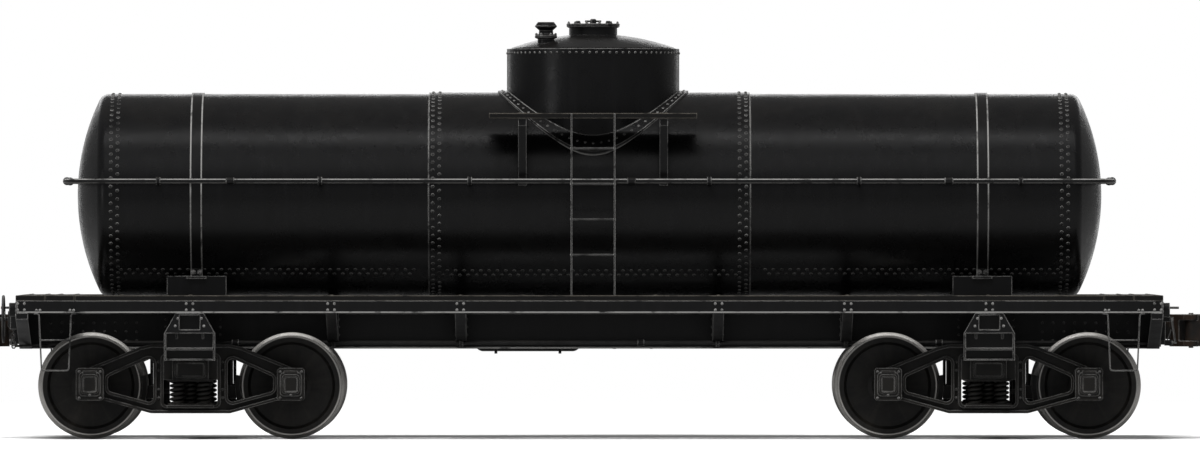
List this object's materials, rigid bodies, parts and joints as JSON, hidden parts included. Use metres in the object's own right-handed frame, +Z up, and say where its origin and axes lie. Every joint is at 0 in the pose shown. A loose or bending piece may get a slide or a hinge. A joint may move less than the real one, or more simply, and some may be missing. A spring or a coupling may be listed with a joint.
{
  "type": "railway tank car",
  "caption": "Railway tank car for acid: a riveted tank with a dome on a steel underframe, carried by two cast-frame trucks with free wheelsets and swinging couplers.",
  "frame": {"origin": "on the floor under the middle of the car, level with the bottoms of the wheel flanges", "axes": "+X along the car towards its A end, +Y to its left side, +Z up"},
  "size_m": [10.374, 2.743, 3.5183],
  "materials": {
    "tank_paint": "satin",
    "frame_paint": "satin",
    "fittings_paint": "satin",
    "boards": "painted, worn",
    "truck_casting": "dusty",
    "wheel_steel": "dusty",
    "axle_steel": "oily",
    "spring_steel": "dusty",
    "coupler_casting": "rough"
  },
  "bodies": {
    "car_body": {"air_reservoir": "frame_paint", "board_blocks": "boards", "body_bolsters": "frame_paint", "brake_cylinder": "frame_paint", "brake_rods": "frame_paint", "centre_sill": "frame_paint", "control_valve": "frame_paint", "crossbearers": "frame_paint", "dome": "tank_paint", "dome_head": "tank_paint", "dome_platforms": "boards", "draft_gears": "coupler_casting", "end_platforms": "boards", "end_sills": "frame_paint", "grab_irons": "frame_paint", "handbrake": "frame_paint", "handrail": "frame_paint", "handrail_posts": "frame_paint", "ladder_rungs": "frame_paint", "ladders": "frame_paint", "manway_hinge": "frame_paint", "manway_neck": "fittings_paint", "platform_brackets": "frame_paint", "running_boards": "boards", "saddles": "frame_paint", "safety_valve": "fittings_paint", "side_sills": "frame_paint", "sill_steps": "frame_paint", "tank": "tank_paint", "tank_anchor": "frame_paint", "tank_bands": "tank_paint", "uncoupling_levers": "frame_paint"},
    "manway_cover": {"cover_fittings": "fittings_paint", "manway_cover": "fittings_paint"},
    "truck_a": {"truck_a_bolster": "truck_casting", "truck_a_brakes": "truck_casting", "truck_a_side_frames": "truck_casting", "truck_a_springs": "spring_steel"},
    "wheelset_a1": {"axle_a1": "axle_steel", "wheels_a1": "wheel_steel"},
    "wheelset_a2": {"axle_a2": "axle_steel", "wheels_a2": "wheel_steel"},
    "truck_b": {"truck_b_bolster": "truck_casting", "truck_b_brakes": "truck_casting", "truck_b_side_frames": "truck_casting", "truck_b_springs": "spring_steel"},
    "wheelset_b1": {"axle_b1": "axle_steel", "wheels_b1": "wheel_steel"},
    "wheelset_b2": {"axle_b2": "axle_steel", "wheels_b2": "wheel_steel"},
    "coupler_a": {"coupler_a": "coupler_casting"},
    "knuckle_a": {"knuckle_a": "coupler_casting"},
    "coupler_b": {"coupler_b": "coupler_casting"},
    "knuckle_b": {"knuckle_b": "coupler_casting"}
  },
  "joints": [
    {"name": "truck_a_swivel", "type": "hinge", "parent": "car_body", "child": "truck_a", "pos_m": [3.3275, 0, 0.6854], "axis": [0, 0, 1], "range_deg": [-8, 8]},
    {"name": "truck_b_swivel", "type": "hinge", "parent": "car_body", "child": "truck_b", "pos_m": [-3.3275, 0, 0.6854], "axis": [0, 0, 1], "range_deg": [-8, 8]},
    {"name": "wheelset_a1_roll", "type": "hinge", "parent": "truck_a", "child": "wheelset_a1", "pos_m": [4.1657, 0, 0.4445], "axis": [0, 1, 0], "continuous": true},
    {"name": "wheelset_a2_roll", "type": "hinge", "parent": "truck_a", "child": "wheelset_a2", "pos_m": [2.4893, 0, 0.4445], "axis": [0, 1, 0], "continuous": true},
    {"name": "wheelset_b1_roll", "type": "hinge", "parent": "truck_b", "child": "wheelset_b1", "pos_m": [-4.1657, 0, 0.4445], "axis": [0, 1, 0], "continuous": true},
    {"name": "wheelset_b2_roll", "type": "hinge", "parent": "truck_b", "child": "wheelset_b2", "pos_m": [-2.4893, 0, 0.4445], "axis": [0, 1, 0], "continuous": true},
    {"name": "coupler_a_swing", "type": "hinge", "parent": "car_body", "child": "coupler_a", "pos_m": [4.33, 0, 0.9017], "axis": [0, 0, 1], "range_deg": [-6, 6]},
    {"name": "knuckle_a_open", "type": "hinge", "parent": "coupler_a", "child": "knuckle_a", "pos_m": [5.05, -0.115, 0.9017], "axis": [0, 0, -1], "range_deg": [0, 50]},
    {"name": "coupler_b_swing", "type": "hinge", "parent": "car_body", "child": "coupler_b", "pos_m": [-4.33, 0, 0.9017], "axis": [0, 0, 1], "range_deg": [-6, 6]},
    {"name": "knuckle_b_open", "type": "hinge", "parent": "coupler_b", "child": "knuckle_b", "pos_m": [-5.05, 0.115, 0.9017], "axis": [0, 0, -1], "range_deg": [0, 50]},
    {"name": "manway_cover_lift", "type": "hinge", "parent": "car_body", "child": "manway_cover", "pos_m": [0.03, 0.252, 3.4703], "axis": [-1, 0, 0], "range_deg": [0, 110]}
  ]
}
